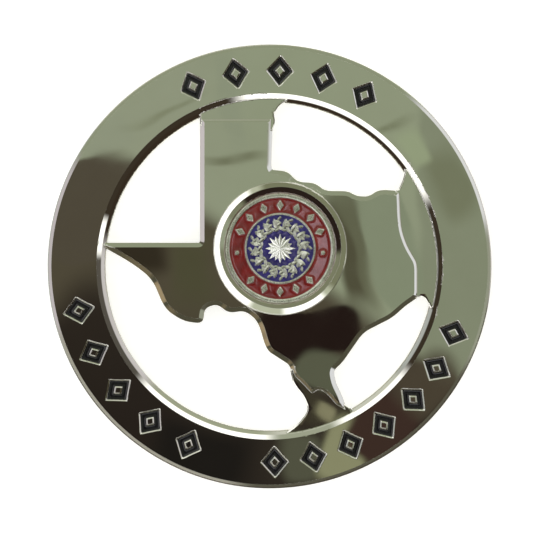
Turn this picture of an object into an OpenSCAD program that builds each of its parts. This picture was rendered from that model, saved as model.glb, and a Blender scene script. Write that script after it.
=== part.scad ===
// Round pierced badge: a crowned ring holds a raised map, and the map holds an enamel medallion.
// Millimetres, +Z out of the badge's face, +Y to the top of the map. The badge lies on its pin,
// with the floor at z = 0 and the ring's centre over the origin.

/* [Ring] */
// Width of the badge over its round edge
badge_d = 57; // [54:0.5:62]
// Width of the round window inside the ring
window_d = 42.1; // [39:0.1:44]
// Thickness of the struck metal at the badge's middle
plate_t = 2.5; // [2.2:0.1:3]
// How much higher the middle of the badge stands than its edge
crown_h = 0.7; // [0.4:0.05:0.9]
// Width of the bright slope round the outside
rim_w = 0.5; // [0.3:0.05:0.7]
// Depth of that slope
rim_drop = 0.4; // [0.25:0.05:0.6]
// Width of the round shoulder at the window
shoulder_w = 1.15; // [0.8:0.05:1.3]
// Depth of that shoulder
shoulder_drop = 0.75; // [0.65:0.05:0.9]

/* [Map] */
// Width of the sloped edge round the map
bevel_w = 0.6; // [0.4:0.05:0.7]
// Depth of that sloped edge
bevel_drop = 0.5; // [0.35:0.05:0.6]
// How far the webs between map and ring lie under the map's face
web_drop = 0.3; // [0.25:0.05:0.4]

/* [Marks] */
// Height of a mark, along the badge's radius
mark_h = 3.7; // [3.2:0.05:3.9]
// Width of a mark, round the ring
mark_w = 3.2; // [2.6:0.05:3.6]
// Width of a mark's line
mark_line = 0.7; // [0.5:0.05:0.8]
// Depth of a mark under the ring's face
mark_depth = 0.7; // [0.6:0.05:0.9]
// Thickness of the enamel in a mark
mark_fill = 0.35; // [0.2:0.05:0.45]

/* [Medallion] */
// Distance of the medallion's middle to the right of the ring's centre
seal_x = 1.35; // [1:0.05:1.7]
// Distance of the medallion's middle above the ring's centre
seal_y = 2.3; // [2:0.05:2.6]
// Width of the medallion
seal_d = 14.1; // [13.6:0.1:14.4]
// Depth of the seat under the badge's face
seat_depth = 1.1; // [0.9:0.05:1.2]
// Clear gap between the medallion and its bezel
seal_gap = 0.35; // [0.2:0.05:0.45]
// Width of the bezel's round lip
bezel_w = 0.95; // [0.8:0.05:1.1]
// How far the bezel stands above the badge's face
bezel_h = 0.5; // [0.35:0.05:0.65]
// Thickness of the medallion at its rim
seal_t = 1.2; // [1.1:0.05:1.4]
// Width of the medallion's rim
seal_rim = 0.55; // [0.4:0.05:0.7]
// Width of the slope that breaks the rim's outer edge
seal_edge = 0.15; // [0.1:0.05:0.25]
// Width of the blue field
field_d = 8.6; // [8.2:0.1:9]
// Width of the thin wall round the blue field
fence_w = 0.25; // [0.2:0.05:0.35]
// Depth of the enamel beds
bed_depth = 0.45; // [0.35:0.05:0.5]
// Thickness of the enamel in its beds
bed_fill = 0.3; // [0.2:0.05:0.35]
// Side clearance of all enamel
enamel_gap = 0.03; // [0.02:0.01:0.05]

/* [Medallion relief] */
// Length of the long rays of the sunburst, from its middle
ray_l = 1.9; // [1.6:0.05:2.1]
// Height of the sunburst above its bed
ray_h = 0.7; // [0.5:0.05:0.85]
// Distance from the medallion's middle to the middle of the leaf darts
dart_r = 3.2; // [3.1:0.05:3.3]
// Length of a leaf dart
dart_l = 1.4; // [1.1:0.05:1.5]
// Width of a leaf dart
dart_w = 0.6; // [0.4:0.05:0.65]
// Length of a lozenge on the red ring, along the radius
loz_l = 1.45; // [1.2:0.05:1.55]
// Width of a lozenge on the red ring
loz_w = 0.95; // [0.7:0.05:1.05]
// Width of the two round pellets on the red ring
pellet_d = 0.6; // [0.4:0.05:0.8]

/* [Pin] */
// Height of the badge's flat back above the floor
stand_h = 4.8; // [4.5:0.1:5.6]
// Length of the pin's strip
strip_l = 30; // [27:0.5:31]
// Middle of the strip to the right of the ring's centre
strip_x = 1.5; // [1:0.1:2.5]
// Width of the strip
strip_w = 5.4; // [4.8:0.1:5.6]
// Thickness of the strip
strip_t = 0.9; // [0.7:0.05:1.1]
// Gap of the solder over the strip and under the medallion
solder_gap = 0.05; // [0.03:0.01:0.1]
// Length of the hinge block
hinge_l = 4.4; // [3.8:0.1:5]
// Length of the catch
catch_l = 3.4; // [3:0.1:4]
// Width of the round pin
stem_d = 1; // [0.9:0.05:1.1]
// Height of the pin's middle above the floor
stem_z = 2.3; // [2.1:0.05:2.4]
// Clear gap round the pin in its catch
catch_gap = 0.25; // [0.15:0.05:0.3]
// Length of the pin's point, past its catch
point_l = 1.8; // [1.4:0.1:2.2]
// Width of the pin's blunted tip
tip_d = 0.2; // [0.15:0.05:0.4]

/* [Hidden] */
// Rows of marks on the ring, with the angles of the first and the last in degrees from +X.
MARK_ROWS = [
    // name, count, first, last
    ["mark_top", 5, 113, 61],
    ["mark_left", 5, 193, 245.5],
    ["mark_right", 7, 271.5, 340],
];
function mark_name(row, i) = str(row[0], "_", i + 1);
function mark_angle(row, i) = row[2] + (row[3] - row[2]) * i / (row[1] - 1);

$fn = 96;
// How deep pieces of one solid reach into each other, and how far cuts run past a face.
LAP = 0.2;
CUT = 0.4;
OVER = 0.06;
badge_r = badge_d / 2;
window_r = window_d / 2;
mark_r = (window_r + shoulder_w + badge_r - rim_w) / 2;
face_z = stand_h + plate_t;
ball_r = (badge_r * badge_r + crown_h * crown_h) / (2 * crown_h);
seat_z = face_z - seat_depth;
seal_r = seal_d / 2;
pocket_r = seal_r + seal_gap;
seal_top = seat_z + solder_gap + seal_t;
bed_z = seal_top - bed_depth;
field_r = field_d / 2;
red_in = field_r + fence_w;
red_out = seal_r - seal_rim;
strip_top = stand_h - solder_gap;
hinge_x = strip_x - strip_l / 2;
catch_x = strip_x + strip_l / 2 - catch_l;

// Outline of the map, counter-clockwise from the top left of its tall arm.
// x and y are shares of the window's radius, round is the share of each side that a corner rounds.
MAP_EDGE = [
    // x, y, round
    [-0.425, 0.905, 0], [-0.425, 0.145, 0.05], [-0.80, 0.145, 0], [-1.065, 0.145, 0],
    [-0.855, 0.03, 0.8], [-0.715, -0.075, 0.8],
    [-0.64, -0.26, 0.8], [-0.525, -0.335, 0.8], [-0.405, -0.35, 0.8], [-0.395, -0.255, 0.8],
    [-0.32, -0.23, 0.8], [-0.25, -0.285, 0.8], [-0.15, -0.27, 0.8], [-0.07, -0.335, 0.8],
    [-0.02, -0.51, 0.7], [0.065, -0.565, 0.6], [0.12, -0.60, 0.7], [0.14, -0.67, 0.8],
    [0.20, -0.725, 0.8], [0.255, -0.79, 0.8], [0.30, -0.755, 0.8], [0.35, -0.79, 0.8],
    [0.40, -0.85, 0.3], [0.48, -0.895, 0], [0.445, -0.79, 0.8],
    [0.405, -0.71, 0.8], [0.39, -0.635, 0.8], [0.445, -0.585, 0.8], [0.50, -0.505, 0.7],
    [0.57, -0.405, 0.8], [0.655, -0.36, 0.8], [0.745, -0.315, 0.7], [0.83, -0.24, 0.7],
    [0.91, -0.185, 0.4], [0.91, 0.02, 0.5], [0.845, 0.13, 0.8], [0.81, 0.235, 0.8],
    [0.80, 0.46, 0.3], [0.67, 0.47, 0.8], [0.60, 0.425, 0.8], [0.53, 0.43, 0.8],
    [0.475, 0.46, 0.7], [0.34, 0.46, 0.7], [0.275, 0.51, 0.8], [0.17, 0.515, 0.8],
    [0.11, 0.58, 0.8], [0.01, 0.59, 0.3], [0.02, 0.905, 0],
];
// Outlines of the low webs between map and ring, in the same shares.
WEB_EDGES = [
    // x, y, round
    [   // above the tall arm
        [-0.38, 0.84, 0], [0.00, 0.82, 0], [0.02, 0.83, 0], [0.035, 0.885, 0.7], [0.025, 0.93, 0.7],
        [0.06, 0.985, 0.7], [0.14, 1.03, 0], [-0.14, 1.06, 0], [-0.425, 0.97, 0], [-0.425, 0.86, 0],
    ],
    [   // beside the right-hand border
        [0.76, 0.43, 0], [0.80, -0.10, 0], [0.87, -0.19, 0], [0.94, -0.185, 0.7],
        [0.97, -0.235, 0.5], [1.01, -0.30, 0], [1.06, 0, 0], [0.99, 0.38, 0], [0.84, 0.64, 0],
        [0.815, 0.535, 0.7], [0.785, 0.467, 0.5], [0.77, 0.465, 0],
    ],
    [   // left of the lower tip
        [0.18, -0.60, 0], [0.125, -0.63, 0], [0.145, -0.725, 0.7], [0.205, -0.79, 0.7],
        [0.24, -0.875, 0.8], [0.17, -0.965, 0.7], [0.08, -1.03, 0], [0.30, -1.03, 0],
        [0.54, -0.91, 0], [0.495, -0.865, 0], [0.44, -0.83, 0], [0.33, -0.72, 0],
    ],
];
CORNER_STEPS = 2;
CROWN_STEPS = 10;
// Angle between the corners of a small round section, in degrees.
ARC_STEP = 22.5;

function unit(v) = v / norm(v);

// Corner points moved inwards by d, or outwards where d is negative.
function moved(points, d) = let (n = len(points)) [
    for (i = [0:n - 1])
        let (
            here = points[i],
            u = unit(here - points[(i + n - 1) % n]),
            v = unit(points[(i + 1) % n] - here)
        )
        here + [-u.y - v.y, u.x + v.x] * d / (1 + u * v)
];

// Corner points with each round corner as a short parabola.
function rounded(points, rounds) = let (n = len(points)) [
    for (i = [0:n - 1])
        let (
            here = points[i],
            a = here + (points[(i + n - 1) % n] - here) * rounds[i] / 2,
            b = here + (points[(i + 1) % n] - here) * rounds[i] / 2
        )
        if (rounds[i] == 0) here
        else each [for (k = [0:CORNER_STEPS])
            let (t = k / CORNER_STEPS) a * (1 - t) * (1 - t) + here * 2 * t * (1 - t) + b * t * t]
];

// A table's outline in millimetres, moved inwards by d.
function outline(edge, d = 0) = rounded(
    moved([for (row = edge) [row.x, row.y] * window_r], d),
    [for (row = edge) row.z]
);

// Height of the crowned face at distance r from the middle.
function crown(r) = face_z - ball_r + sqrt(ball_r * ball_r - r * r);
mark_z = crown(mark_r) - mark_depth;
// A lozenge with its length along x, its sides moved inwards by d.
function lozenge(l, w, d = 0) = moved([[l / 2, 0], [0, w / 2], [-l / 2, 0], [0, -w / 2]], d);

// All that lies under the crowned face, sunk by drop, in narrow cones.
module crowned(drop) {
    wide = badge_r + LAP;
    rotate_extrude() polygon(concat(
        [[0, stand_h - LAP], [wide, stand_h - LAP]],
        [for (i = [CROWN_STEPS:-1:1]) [wide * i / CROWN_STEPS, crown(wide * i / CROWN_STEPS) - drop]],
        [[0, crown(wide / CROWN_STEPS) - drop]]));
}

// A flat shape raised from the badge's back to its crowned face, sunk by drop.
module struck(drop) {
    intersection() {
        translate([0, 0, stand_h]) linear_extrude(height = plate_t + LAP) children();
        crowned(drop);
    }
}

module ring() {
    difference() {
        struck(0) difference() {
            circle(r = badge_r);
            circle(r = window_r);
        }
        rotate_extrude() rim_slope();
        rotate_extrude() shoulder_slope();
    }
}

module rim_slope() {
    edge_z = crown(badge_r) - rim_drop;
    foot_z = crown(badge_r - rim_w);
    polygon([[badge_r - rim_w, foot_z], [badge_r, edge_z], [badge_r + CUT, edge_z],
             [badge_r + CUT, foot_z + CUT], [badge_r - rim_w, foot_z + CUT]]);
}

module shoulder_slope() {
    top = crown(window_r + shoulder_w);
    polygon(concat(
        [for (a = [0:ARC_STEP:90]) [window_r + shoulder_w * (1 - sin(a)), top - shoulder_drop * (1 - cos(a))]],
        [[window_r - CUT, top - shoulder_drop], [window_r - CUT, top + CUT],
         [window_r + shoulder_w, top + CUT]]));
}

// The raised map with its sloped edge.
module land() {
    difference() {
        struck(0) polygon(outline(MAP_EDGE));
        edge_cutter(MAP_EDGE);
    }
}

// A ring of three-sided section that follows an outline and takes its upper edge off at a slope.
module edge_cutter(edge) {
    n = len(outline(edge));
    slope = bevel_drop / bevel_w;
    rows = [
        // how far inside the outline, how far above the face
        [-OVER, -bevel_drop - OVER * slope],
        [bevel_w + OVER, OVER * slope],
        [-OVER, CUT],
    ];
    points = [for (row = rows) each [
        for (p = outline(edge, row[0])) [p.x, p.y, crown(norm(p)) + row[1]]]];
    sides = [for (k = [0:2], i = [0:n - 1])
        let (a = k * n + i, b = k * n + (i + 1) % n, c = (k + 1) % 3 * n + (i + 1) % n,
             d = (k + 1) % 3 * n + i)
        each [[a, b, c], [a, c, d]]];
    polyhedron(points, sides);
}

module webs() {
    struck(web_drop) for (edge = WEB_EDGES) polygon(outline(edge));
}

module at_seal(z) {
    translate([seal_x, seal_y, z]) children();
}

module bezel() {
    at_seal(0) rotate_extrude() polygon(concat(
        [[pocket_r - LAP, seat_z - LAP], [pocket_r + bezel_w, seat_z - LAP]],
        [for (a = [0:ARC_STEP:180]) [pocket_r + bezel_w * (1 + cos(a)) / 2, face_z - LAP + (bezel_h + LAP) * sin(a)]],
        [[pocket_r - LAP, face_z - LAP]]));
}

// A sunk mark in its own place on the ring: length lies along the radius.
module on_ring(angle) {
    rotate([0, 0, angle]) translate([mark_r, 0, 0]) children();
}

module mark_line_shape(gap) {
    difference() {
        polygon(lozenge(mark_h, mark_w, gap));
        polygon(lozenge(mark_h, mark_w, mark_line - gap));
    }
}

module badge_plate() {
    color("#a8a894") difference() {
        union() {
            ring();
            land();
            webs();
            bezel();
        }
        at_seal(seat_z) cylinder(r = pocket_r, h = seat_depth + bezel_h + CUT);
        for (row = MARK_ROWS, i = [0:row[1] - 1]) on_ring(mark_angle(row, i))
            translate([0, 0, mark_z]) linear_extrude(height = mark_depth + CUT) mark_line_shape(0);
    }
}

module mark(row, i) {
    color("#15130f") on_ring(mark_angle(row, i))
        translate([0, 0, mark_z + enamel_gap])
            linear_extrude(height = mark_fill) mark_line_shape(enamel_gap);
}

// Rows of lozenges on the red ring, with the angles of the first and the last.
LOZENGE_ROWS = [
    // count, first, last
    [7, 157, 23],
    [5, 227, 313],
];
PELLET_ANGLES = [186, -6];
RAYS = 8;
DARTS = 16;
// Reach of the sunburst's short rays and of the notches between rays, as shares of a long ray.
SHORT_RAY = 0.8;
NOTCH = 0.56;
red_mid = (red_in + red_out) / 2;

// The relief on the red ring, grown by gap where the enamel leaves room for it.
module red_relief(gap) {
    for (row = LOZENGE_ROWS, i = [0:row[0] - 1])
        rotate([0, 0, row[1] + (row[2] - row[1]) * i / (row[0] - 1)]) translate([red_mid, 0, 0])
            linear_extrude(height = bed_depth + LAP) polygon(lozenge(loz_l, loz_w, -gap));
    for (angle = PELLET_ANGLES) rotate([0, 0, angle]) translate([red_mid, 0, 0])
        cylinder(d = pellet_d + 2 * gap, h = bed_depth + LAP, $fn = 24);
}

// The leaf darts round the blue field, grown by gap.
module darts(gap) {
    for (i = [0:DARTS - 1]) rotate([0, 0, (i + 0.5) * 360 / DARTS]) translate([dart_r, 0, 0])
        linear_extrude(height = bed_depth + LAP) polygon(lozenge(dart_l, dart_w, -gap));
}

// Corner points of the sunburst's outline: long rays, short rays and the notches between them.
BURST = [for (i = [0:4 * RAYS - 1])
    let (r = i % 2 == 1 ? NOTCH : i % 4 == 0 ? 1 : SHORT_RAY, a = i * 90 / RAYS)
    ray_l * r * [cos(a), sin(a)]];

// The faceted sunburst, with a short straight foot that is sunk in the medallion.
module sunburst() {
    n = len(BURST);
    rim = [for (p = BURST) [p.x, p.y, LAP]];
    foot = [for (p = BURST) [p.x, p.y, 0]];
    points = concat(rim, foot, [[0, 0, LAP + ray_h], [0, 0, 0]]);
    faces = [for (i = [0:n - 1]) let (j = (i + 1) % n)
        each [[j, i, 2 * n], [i, j, n + j], [i, n + j, n + i], [n + i, n + j, 2 * n + 1]]];
    polyhedron(points, faces);
}

module seal_disc() {
    color("#b9b9b4") at_seal(0) union() {
        rotate_extrude() polygon([
            [0, seat_z + solder_gap], [seal_r, seat_z + solder_gap], [seal_r, seal_top - seal_edge],
            [seal_r - seal_edge, seal_top], [red_out, seal_top], [red_out, bed_z], [red_in, bed_z],
            [red_in, seal_top], [field_r, seal_top], [field_r, bed_z], [0, bed_z]]);
        translate([0, 0, bed_z - LAP]) {
            red_relief(0);
            darts(0);
            sunburst();
        }
    }
}

module red_enamel() {
    color("#8e1f22") at_seal(bed_z + enamel_gap) difference() {
        cylinder(r = red_out - enamel_gap, h = bed_fill);
        translate([0, 0, -LAP]) {
            cylinder(r = red_in + enamel_gap, h = bed_depth + LAP);
            red_relief(enamel_gap);
        }
    }
}

module blue_enamel() {
    color("#3a3578") at_seal(bed_z + enamel_gap) difference() {
        cylinder(r = field_r - enamel_gap, h = bed_fill);
        translate([0, 0, -LAP]) {
            darts(enamel_gap);
            linear_extrude(height = bed_depth + LAP) polygon(moved(BURST, -enamel_gap));
        }
    }
}

// Strip, hinge block, pin and catch on the back, all one piece.
module pin_back() {
    color("#b0b0a8") {
        difference() {
            union() {
                translate([hinge_x, -strip_w / 2, strip_top - strip_t]) cube([strip_l, strip_w, strip_t]);
                translate([hinge_x, -strip_w / 2, 0]) cube([hinge_l, strip_w, strip_top]);
                translate([catch_x, -strip_w / 2, 0]) cube([catch_l, strip_w, strip_top]);
            }
            translate([catch_x - LAP, 0, stem_z]) rotate([0, 90, 0])
                cylinder(d = stem_d + 2 * catch_gap, h = catch_l + 2 * LAP);
            translate([catch_x - LAP, -strip_w, stem_z - stem_d / 2 - catch_gap])
                cube([catch_l + 2 * LAP, strip_w, stem_d + 2 * catch_gap]);
        }
        translate([hinge_x + hinge_l / 2, 0, stem_z]) rotate([0, 90, 0]) {
            cylinder(d = stem_d, h = strip_l - hinge_l / 2);
            translate([0, 0, strip_l - hinge_l / 2]) cylinder(d1 = stem_d, d2 = tip_d, h = point_l);
        }
    }
}

badge_plate();
seal_disc();
red_enamel();
blue_enamel();
pin_back();
for (row = MARK_ROWS, i = [0:row[1] - 1])
    mark(row, i);
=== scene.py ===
# %% [markdown]
# A round pierced badge, struck from one sheet of metal and nickel plated, with a small enamelled
# medallion set in its middle and a pin on its back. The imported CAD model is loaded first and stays
# as the fixed frame. Everything here is dressed round it, in metres.

import math

import bmesh
import bpy
import numpy as np
from mathutils import Matrix, Vector
from mathutils.geometry import delaunay_2d_cdt


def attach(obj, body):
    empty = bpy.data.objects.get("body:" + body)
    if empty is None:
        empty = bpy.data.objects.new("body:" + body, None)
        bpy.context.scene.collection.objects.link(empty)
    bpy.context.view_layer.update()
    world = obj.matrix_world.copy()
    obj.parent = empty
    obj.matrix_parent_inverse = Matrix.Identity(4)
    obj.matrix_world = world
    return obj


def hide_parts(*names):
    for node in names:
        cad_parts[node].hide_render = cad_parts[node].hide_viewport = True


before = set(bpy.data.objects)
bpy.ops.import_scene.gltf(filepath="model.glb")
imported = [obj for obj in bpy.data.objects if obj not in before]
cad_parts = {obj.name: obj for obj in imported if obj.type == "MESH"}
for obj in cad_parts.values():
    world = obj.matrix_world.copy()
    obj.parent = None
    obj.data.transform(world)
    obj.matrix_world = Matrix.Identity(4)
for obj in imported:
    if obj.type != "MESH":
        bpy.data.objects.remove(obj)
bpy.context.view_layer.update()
scene = bpy.context.scene
scene.view_settings.view_transform = "Standard"
print("nodes in the frame:", len(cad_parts))

# %% [markdown]
# A badge maker thinks in millimetres and Blender in metres. All sizes below are in millimetres and
# every mesh is made a thousand times smaller at the moment it becomes a Blender object.

# %% Sizes of the badge in millimetres
MM = 0.001
BADGE_R = 28.5
WINDOW_R = 21.05
BACK_Z = 4.8
FACE_Z = 7.3
CROWN_H = 0.7
BALL_R = (BADGE_R ** 2 + CROWN_H ** 2) / (2 * CROWN_H)
RIM_W, RIM_DROP = 0.5, 0.35
SHOULDER_W = 1.15
BEVEL_W, BEVEL_DROP = 0.6, 0.5
WEB_DROP, WEB_EDGE_W, WEB_EDGE_DROP = 0.3, 0.14, 0.05
MARK_R = (WINDOW_R + SHOULDER_W + BADGE_R - RIM_W) / 2
MARK_H, MARK_W, MARK_LINE = 3.7, 3.2, 0.7
MARK_DEPTH, MARK_FILL = 0.7, 0.35
SEAL = np.array([1.35, 2.3])
SEAL_R, POCKET_R, BEZEL_W, SEAT_Z = 7.05, 7.4, 0.95, 6.2
BEZEL_R = POCKET_R + BEZEL_W
SEAL_FOOT, SEAL_TOP, BED_Z = 6.25, 7.45, 7.0
FIELD_R, RED_IN, RED_OUT = 4.3, 4.55, 6.5
ENAMEL_GAP, ENAMEL_T = 0.03, 0.3
BLOCK = 2048  # points that are measured at a time

# %% [markdown]
# The map's border is a closed line of corner points, given as shares of the window's radius. Each
# corner is softened with a short parabola, as a graver leaves it, and long sides are cut into short
# steps so that the surface can be measured finely all along them.

# %% Outlines of the map and of the low webs
MAP_EDGE = [
    # x, y, round
    [-0.425, 0.905, 0], [-0.425, 0.145, 0.05], [-0.80, 0.145, 0], [-1.065, 0.145, 0],
    [-0.855, 0.03, 0.8], [-0.715, -0.075, 0.8],
    [-0.64, -0.26, 0.8], [-0.525, -0.335, 0.8], [-0.405, -0.35, 0.8], [-0.395, -0.255, 0.8],
    [-0.32, -0.23, 0.8], [-0.25, -0.285, 0.8], [-0.15, -0.27, 0.8], [-0.07, -0.335, 0.8],
    [-0.02, -0.51, 0.7], [0.065, -0.565, 0.6], [0.12, -0.60, 0.7], [0.14, -0.67, 0.8],
    [0.20, -0.725, 0.8], [0.255, -0.79, 0.8], [0.30, -0.755, 0.8], [0.35, -0.79, 0.8],
    [0.40, -0.85, 0.3], [0.48, -0.895, 0], [0.445, -0.79, 0.8],
    [0.405, -0.71, 0.8], [0.39, -0.635, 0.8], [0.445, -0.585, 0.8], [0.50, -0.505, 0.7],
    [0.57, -0.405, 0.8], [0.655, -0.36, 0.8], [0.745, -0.315, 0.7], [0.83, -0.24, 0.7],
    [0.91, -0.185, 0.4], [0.91, 0.02, 0.5], [0.845, 0.13, 0.8], [0.81, 0.235, 0.8],
    [0.80, 0.46, 0.3], [0.67, 0.47, 0.8], [0.60, 0.425, 0.8], [0.53, 0.43, 0.8],
    [0.475, 0.46, 0.7], [0.34, 0.46, 0.7], [0.275, 0.51, 0.8], [0.17, 0.515, 0.8],
    [0.11, 0.58, 0.8], [0.01, 0.59, 0.3], [0.02, 0.905, 0],
]
WEB_EDGES = {
    "above the tall arm": [
        [-0.38, 0.84, 0], [0.00, 0.82, 0], [0.02, 0.83, 0], [0.035, 0.885, 0.7], [0.025, 0.93, 0.7],
        [0.06, 0.985, 0.7], [0.14, 1.03, 0], [-0.14, 1.06, 0], [-0.425, 0.97, 0], [-0.425, 0.86, 0],
    ],
    "beside the right-hand border": [
        [0.76, 0.43, 0], [0.80, -0.10, 0], [0.87, -0.19, 0], [0.94, -0.185, 0.7],
        [0.97, -0.235, 0.5], [1.01, -0.30, 0], [1.06, 0, 0], [0.99, 0.38, 0], [0.84, 0.64, 0],
        [0.815, 0.535, 0.7], [0.785, 0.467, 0.5], [0.77, 0.465, 0],
    ],
    "left of the lower tip": [
        [0.18, -0.60, 0], [0.125, -0.63, 0], [0.145, -0.725, 0.7], [0.205, -0.79, 0.7],
        [0.24, -0.875, 0.8], [0.17, -0.965, 0.7], [0.08, -1.03, 0], [0.30, -1.03, 0],
        [0.54, -0.91, 0], [0.495, -0.865, 0], [0.44, -0.83, 0], [0.33, -0.72, 0],
    ],
}


def outline(edge, corner_steps=6, step=0.18):
    """A table's border in millimetres, with round corners and no side longer than step."""
    table = np.array(edge)
    corner, share = table[:, :2] * WINDOW_R, table[:, 2]
    line = []
    for i, here in enumerate(corner):
        before, after = corner[i - 1], corner[(i + 1) % len(corner)]
        if share[i] == 0:
            line.append(here)
            continue
        a = here + (before - here) * share[i] / 2
        b = here + (after - here) * share[i] / 2
        for t in np.linspace(0, 1, corner_steps + 1):
            line.append(a * (1 - t) ** 2 + here * 2 * t * (1 - t) + b * t * t)
    return cut_up(np.array(line), step)


def cut_up(line, step):
    """A closed line with its long sides cut into even pieces."""
    fine = []
    for here, after in zip(line, np.roll(line, -1, 0)):
        n = max(1, math.ceil(np.hypot(*(after - here)) / step))
        fine += [here + (after - here) * k / n for k in range(n)]
    return np.array(fine)


map_line = outline(MAP_EDGE)
web_lines = [outline(edge) for edge in WEB_EDGES.values()]
print("points on the map's border:", len(map_line), "and on the webs:", [len(w) for w in web_lines])

# %% [markdown]
# To slope or round an edge, each point of the surface has to know how far inside a border it lies
# and in which direction that distance grows. The direction makes the surface's exact tilt cheap to
# work out later, and on polished metal the tilt is everything, because it is what reflects.


# %% Measure how far points lie inside a border
def enclosed(p, a, b):
    """Whether points p, of shape (n, 1, 2), lie inside the border whose sides run from a to b."""
    side = b - a
    crosses = (a[:, 1] > p[..., 1]) != (b[:, 1] > p[..., 1])
    with np.errstate(divide="ignore", invalid="ignore"):
        at = a[:, 0] + side[:, 0] * (p[..., 1] - a[:, 1]) / side[:, 1]
    return (crosses & (p[..., 0] < at)).sum(1) % 2 == 1


def reach(xy, line):
    """Distance of each point into a closed line, negative outside, and the way in which it grows."""
    end = np.roll(line, -1, 0)
    side = end - line
    length2 = (side ** 2).sum(1)
    inwards = np.stack([-side[:, 1], side[:, 0]], 1) / np.sqrt(length2)[:, None]
    if (line[:, 0] * side[:, 1] - line[:, 1] * side[:, 0]).sum() < 0:
        inwards = -inwards
    far, way = np.empty(len(xy)), np.empty((len(xy), 2))
    for s in range(0, len(xy), BLOCK):
        p = xy[s:s + BLOCK, None, :]
        rel = p - line
        t = np.clip((rel * side).sum(2) / length2, 0, 1)
        off = rel - t[..., None] * side
        near2 = (off ** 2).sum(2)
        k = near2.argmin(1)
        row = np.arange(len(k))
        d = np.sqrt(near2[row, k])
        sign = np.where(enclosed(p, line, end), 1, -1)
        far[s:s + BLOCK] = sign * d
        unit = off[row, k] / np.maximum(d, 1e-9)[:, None] * sign[:, None]
        way[s:s + BLOCK] = np.where(d[:, None] > 1e-4, unit, inwards[k])
    return far, way


def smax(a, b, k):
    """The larger of two heights, with a fillet where they are within k of each other."""
    h = np.clip(0.5 + 0.5 * (a - b) / k, 0, 1)
    return b + (a - b) * h + k * h * (1 - h)


def smin(a, b, k):
    """The smaller of two heights, with a soft edge where they are within k of each other."""
    return -smax(-a, -b, k)


# %% [markdown]
# The ring carries seventeen sunk marks. They stand in three rows, and every point of the ring is
# measured against the mark that is nearest to it, in that mark's own directions: along the radius
# and across it.

# %% Places of the marks
MARK_ROWS = {
    # count, first angle, last angle
    "mark_top": (5, 113, 61),
    "mark_left": (5, 193, 245.5),
    "mark_right": (7, 271.5, 340),
}
mark_angles = np.radians(np.concatenate(
    [np.linspace(first, last, count) for count, first, last in MARK_ROWS.values()]))
LOZENGE_ROWS = [(7, 157, 23), (5, 227, 313)]
PELLET_ANGLES = (186, -6)
LOZ_L, LOZ_W, PELLET_R = 1.45, 0.95, 0.3
LEAF_R, LEAF_L, LEAF_W = 3.2, 1.4, 0.6
RED_MID = (RED_IN + RED_OUT) / 2


def in_lozenge(x, y, length, width, soft=0.04):
    """How far points lie inside a lozenge with its length along x; soft rounds its corners."""
    a, b = length / 2, width / 2
    return (1 - np.hypot(x, soft) / a - np.hypot(y, soft) / b) * a * b / math.hypot(a, b)


def nearest_frame(x, y, angles, radius):
    """Coordinates of points in the frame of the nearest of several places on a circle."""
    r, theta = np.hypot(x, y), np.arctan2(y, x)
    turn = (theta[:, None] - angles + math.pi) % (2 * math.pi) - math.pi
    k = np.abs(turn).argmin(1)
    turn = turn[np.arange(len(k)), k]
    return r * np.cos(turn) - radius, r * np.sin(turn)


print("marks on the ring:", len(mark_angles))

# %% [markdown]
# The struck face is one height for every point. The crown is a slice of a very large ball, so that
# the ring reads as slightly domed. The rim's slope, the round shoulder at the window, the map with
# its sloped edge, the low webs and the bezel are each a height of their own, joined with small
# fillets as a steel die leaves them. A faint waviness is what buffing leaves, and it is what bends
# the reflections.

# %% Height of the struck face
SKIRT = 3.5  # slope of each form's height outside its own border
EDGE_CURVE = 0.02
SWELL, DRIFT, RIPPLE = 0.005, 0.0025, 0.001  # heights of the waves that buffing leaves
FILLET, MARK_FILLET, LIP_FILLET, BEZEL_FILLET = 0.01, 0.05, 0.02, 0.03
LIP_W, LIP_TAN, WALL_TAN = 0.16, 0.75, 7
ROLL = {1: 0.413, 2: 0.132, 4: 0.061, 30: 0.03}  # power of the way down, drop in millimetres
CREST_R, CREST_Z, CREST_SHIFT, CREST_ROUND = 7.76, 7.787, np.array([0.06, 0.11]), 0.015
DISH_R, DISH_SLOPE, DISH_CURVE, DISH_WALL = 7.15, 0.13, 0.02, 1.2
LIP_R, FLANK_SLOPE, FLANK_CURVE, FLANK_WALL = 8.46, 0.20, 0.045, 40


def rounded_off(share):
    """How far an edge has dropped, from 1 at the border to 0 at the inner end of its slope."""
    u = np.clip(1 - share, 0, 1)
    return (1 - EDGE_CURVE) * u + EDGE_CURVE * u ** 2


def rolled(share):
    """Drop of the ring's shoulder in millimetres, which starts with a crease and ends steeply."""
    v = np.clip(1 - share, 0, 1)
    return sum(drop * v ** power for power, drop in ROLL.items())


def bezel_height(x, y):
    """Height of the bezel: a dished lip inside a ridge, set a little off the middle."""
    q = np.hypot(x, y)
    d = q - CREST_R - (CREST_SHIFT[0] * x + CREST_SHIFT[1] * y) / np.maximum(q, 1)
    outer, inner = (np.hypot(d, CREST_ROUND) + d) / 2, (np.hypot(d, CREST_ROUND) - d) / 2
    dish = DISH_SLOPE * inner + DISH_CURVE * inner ** 2 + DISH_WALL * np.maximum(DISH_R - q, 0)
    flank = FLANK_SLOPE * outer + FLANK_CURVE * outer ** 2 + FLANK_WALL * np.maximum(q - LIP_R, 0) ** 2
    return CREST_Z - dish - flank


def waviness(x, y):
    """The slow swell and dip of a buffed face, in millimetres."""
    return (SWELL * np.sin(0.30 * x + 0.9) * np.sin(0.27 * y - 0.4)
            + DRIFT * np.sin(0.55 * x - 0.35 * y + 2.1) + RIPPLE * np.sin(0.9 * y + 0.4 * x))


def crown(r):
    return FACE_Z - BALL_R + np.sqrt(BALL_R ** 2 - r ** 2)


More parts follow.
